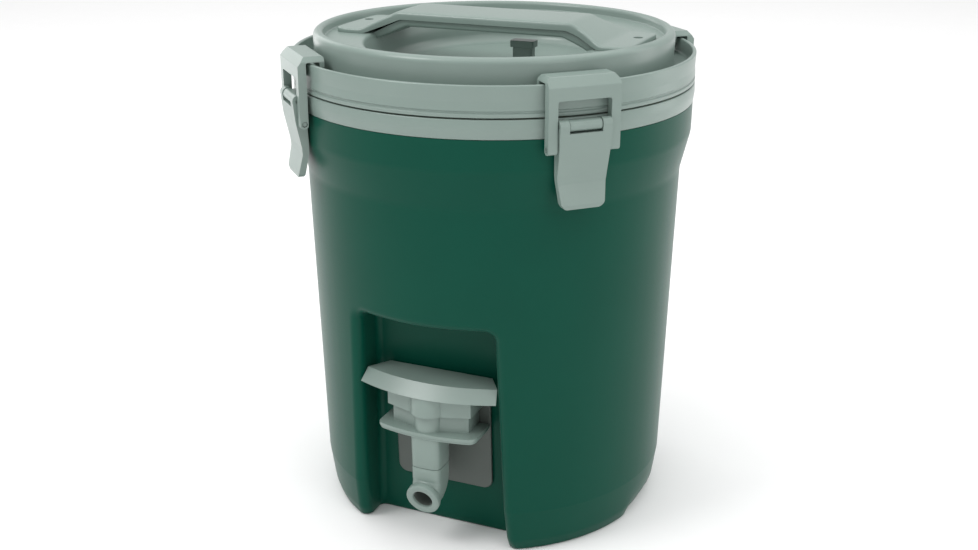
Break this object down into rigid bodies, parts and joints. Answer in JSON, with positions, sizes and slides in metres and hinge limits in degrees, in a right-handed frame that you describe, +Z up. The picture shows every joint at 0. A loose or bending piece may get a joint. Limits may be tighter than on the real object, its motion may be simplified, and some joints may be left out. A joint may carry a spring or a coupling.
{
  "type": "insulated water jug",
  "caption": "Insulated water jug: round double-wall body, latched lid with a bridge handle, vent plug and a push tap in a front alcove.",
  "frame": {"origin": "centre of the underside, on the plane that the jug stands on", "axes": "+Z up along the jug's axis; the tap faces -Y; the handle bar runs along X"},
  "size_m": [0.24, 0.24, 0.3045],
  "materials": {
    "bottle_green": "satin, fine moulded texture",
    "sage_grey": "satin",
    "dark_sage": "satin",
    "liner_white": "smooth",
    "insulation_foam": "matt foam",
    "stainless_steel": "bright",
    "seal_rubber": "matt"
  },
  "bodies": {
    "jug": {"outer_shell": "bottle_green", "body_foam": "insulation_foam", "inner_liner": "liner_white", "collar": "sage_grey", "lid_shell": "sage_grey", "lid_liner": "dark_sage", "lid_foam": "insulation_foam", "lid_gasket": "seal_rubber", "handle_top": "sage_grey", "handle_underside": "sage_grey", "handle_screw_left": "stainless_steel", "handle_screw_right": "stainless_steel", "tap_plate": "dark_sage", "tap_body": "sage_grey", "tap_washer": "seal_rubber", "tap_locknut": "dark_sage", "valve_bonnet": "dark_sage", "return_spring": "stainless_steel", "nozzle": "sage_grey"},
    "lever_front_right": {"latch_lever_front_right": "sage_grey", "latch_lever_pin_front_right": "sage_grey"},
    "hook_front_right": {"latch_hook_front_right": "sage_grey", "latch_hook_pin_front_right": "sage_grey"},
    "lever_back_right": {"latch_lever_back_right": "sage_grey", "latch_lever_pin_back_right": "sage_grey"},
    "hook_back_right": {"latch_hook_back_right": "sage_grey", "latch_hook_pin_back_right": "sage_grey"},
    "lever_back_left": {"latch_lever_back_left": "sage_grey", "latch_lever_pin_back_left": "sage_grey"},
    "hook_back_left": {"latch_hook_back_left": "sage_grey", "latch_hook_pin_back_left": "sage_grey"},
    "lever_front_left": {"latch_lever_front_left": "sage_grey", "latch_lever_pin_front_left": "sage_grey"},
    "hook_front_left": {"latch_hook_front_left": "sage_grey", "latch_hook_pin_front_left": "sage_grey"},
    "paddle_unit": {"paddle": "sage_grey", "valve_stem": "stainless_steel", "valve_seal": "seal_rubber"},
    "vent": {"vent_plug": "sage_grey", "vent_seal": "seal_rubber"}
  },
  "joints": [
    {"name": "lever_pivot_front_right", "type": "hinge", "parent": "jug", "child": "lever_front_right", "pos_m": [0.08804, -0.08804, 0.264], "axis": [-0.7071, -0.7071, 0], "range_deg": [0, 90]},
    {"name": "hook_pivot_front_right", "type": "hinge", "parent": "lever_front_right", "child": "hook_front_right", "pos_m": [0.08683, -0.08683, 0.2518], "axis": [-0.7071, -0.7071, 0], "range_deg": [-65, 0]},
    {"name": "lever_pivot_back_right", "type": "hinge", "parent": "jug", "child": "lever_back_right", "pos_m": [0.08804, 0.08804, 0.264], "axis": [0.7071, -0.7071, 0], "range_deg": [0, 90]},
    {"name": "hook_pivot_back_right", "type": "hinge", "parent": "lever_back_right", "child": "hook_back_right", "pos_m": [0.08683, 0.08683, 0.2518], "axis": [0.7071, -0.7071, 0], "range_deg": [-65, 0]},
    {"name": "lever_pivot_back_left", "type": "hinge", "parent": "jug", "child": "lever_back_left", "pos_m": [-0.08804, 0.08804, 0.264], "axis": [0.7071, 0.7071, 0], "range_deg": [0, 90]},
    {"name": "hook_pivot_back_left", "type": "hinge", "parent": "lever_back_left", "child": "hook_back_left", "pos_m": [-0.08683, 0.08683, 0.2518], "axis": [0.7071, 0.7071, 0], "range_deg": [-65, 0]},
    {"name": "lever_pivot_front_left", "type": "hinge", "parent": "jug", "child": "lever_front_left", "pos_m": [-0.08804, -0.08804, 0.264], "axis": [-0.7071, 0.7071, 0], "range_deg": [0, 90]},
    {"name": "hook_pivot_front_left", "type": "hinge", "parent": "lever_front_left", "child": "hook_front_left", "pos_m": [-0.08683, -0.08683, 0.2518], "axis": [-0.7071, 0.7071, 0], "range_deg": [-65, 0]},
    {"name": "paddle_slide", "type": "slide", "parent": "jug", "child": "paddle_unit", "axis": [0, 0, -1], "range_m": [0, 0.006], "stiffness_N_per_m": 500, "springref_m": -0.004, "deforming": ["return_spring"]},
    {"name": "vent_slide", "type": "slide", "parent": "jug", "child": "vent", "axis": [0, 0, 1], "range_m": [0, 0.006]}
  ],
  "couplings": [
    {"joint": "hook_pivot_front_right", "follows": "lever_pivot_front_right", "ratio": -0.72},
    {"joint": "hook_pivot_back_right", "follows": "lever_pivot_back_right", "ratio": -0.72},
    {"joint": "hook_pivot_back_left", "follows": "lever_pivot_back_left", "ratio": -0.72},
    {"joint": "hook_pivot_front_left", "follows": "lever_pivot_front_left", "ratio": -0.72}
  ]
}
